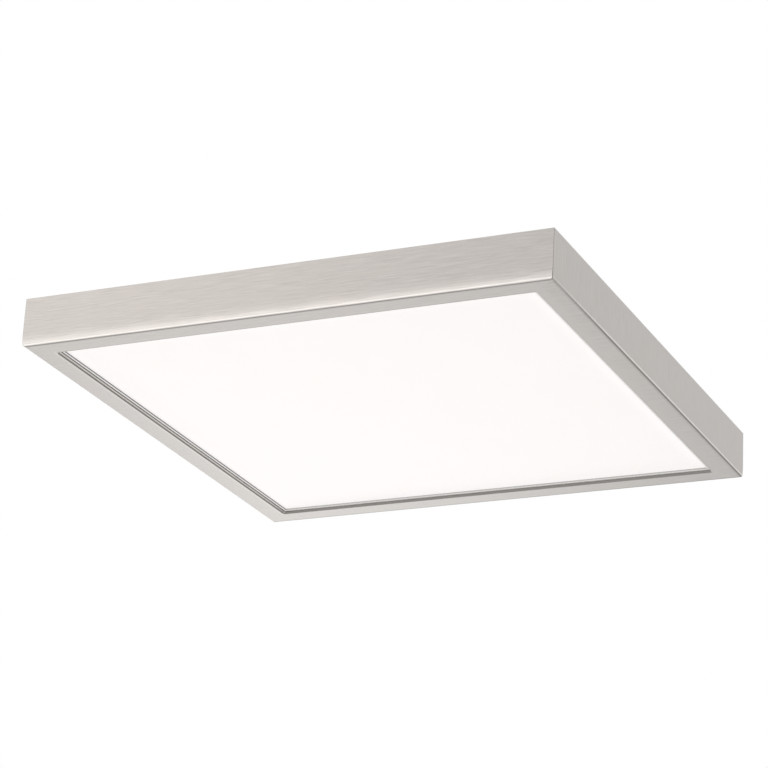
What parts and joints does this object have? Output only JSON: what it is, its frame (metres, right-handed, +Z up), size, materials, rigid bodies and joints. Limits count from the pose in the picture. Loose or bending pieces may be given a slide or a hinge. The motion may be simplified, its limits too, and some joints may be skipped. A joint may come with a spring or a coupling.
{
  "type": "square flush-mount ceiling light",
  "caption": "Square, slim, edge-lit ceiling light: folded brushed-nickel housing with a flat opal lens, which snaps onto a sprung ceiling plate.",
  "frame": {"origin": "centre of the fixture on the plane of the ceiling, midway between the two outlet box screws", "axes": "+Z up into the ceiling, so the lens faces -Z; +X along the line of the outlet box screws; the driver lies on the +Y side"},
  "size_m": [0.381, 0.381, 0.0563],
  "materials": {
    "brushed_nickel": "satin",
    "opal_lens": "satin",
    "frame_aluminium": "satin",
    "cover_aluminium": "satin",
    "zinc_plate": "satin",
    "zinc_screws": "satin",
    "green_screw": "satin",
    "spring_steel": "polished",
    "rivets": "satin",
    "black_plastic": "matte",
    "white_plastic": "satin",
    "grey_plastic": "satin",
    "white_film": "matte",
    "clear_acrylic": "gloss",
    "white_board": "satin",
    "led_packages": "satin",
    "foam": "matte",
    "driver_case": "satin",
    "circuit_board": "satin",
    "transformer_tape": "satin",
    "copper_winding": "gloss",
    "capacitor_sleeve": "gloss",
    "red_insulation": "satin",
    "black_insulation": "satin"
  },
  "bodies": {
    "ceiling_plate": {"mounting_plate": "zinc_plate", "wire_bushing": "black_plastic", "outlet_box_screws": "zinc_screws", "ground_screw": "green_screw", "leaf_springs": "spring_steel", "spring_rivets": "rivets"},
    "fixture": {"housing": "brushed_nickel", "weld_studs": "zinc_screws", "stud_nuts": "zinc_screws", "rail_front": "frame_aluminium", "rail_back": "frame_aluminium", "rail_left": "frame_aluminium", "rail_right": "frame_aluminium", "corner_brackets": "zinc_plate", "corner_screws": "zinc_screws", "lens": "opal_lens", "diffuser_film": "white_film", "light_guide": "clear_acrylic", "reflector_sheet": "white_film", "led_board_left": "white_board", "led_board_right": "white_board", "leds_left": "led_packages", "leds_right": "led_packages", "foam_strips": "foam", "back_cover": "cover_aluminium", "cover_screws": "zinc_screws", "catch_brackets": "zinc_plate", "catch_rivets": "rivets", "driver_tray": "driver_case", "driver_cover": "driver_case", "driver_screws": "zinc_screws", "driver_board": "circuit_board", "driver_transformer": "transformer_tape", "driver_choke": "copper_winding", "driver_capacitors": "capacitor_sleeve", "output_connector": "white_plastic", "supply_terminal": "grey_plastic", "red_leads": "red_insulation", "black_leads": "black_insulation", "lead_grommets": "black_plastic", "lead_clips": "white_plastic"}
  },
  "joints": [
    {"name": "pull_down", "type": "slide", "parent": "ceiling_plate", "child": "fixture", "axis": [0, 0, -1], "range_m": [0, 0.06], "deforming": ["leaf_springs"]}
  ]
}
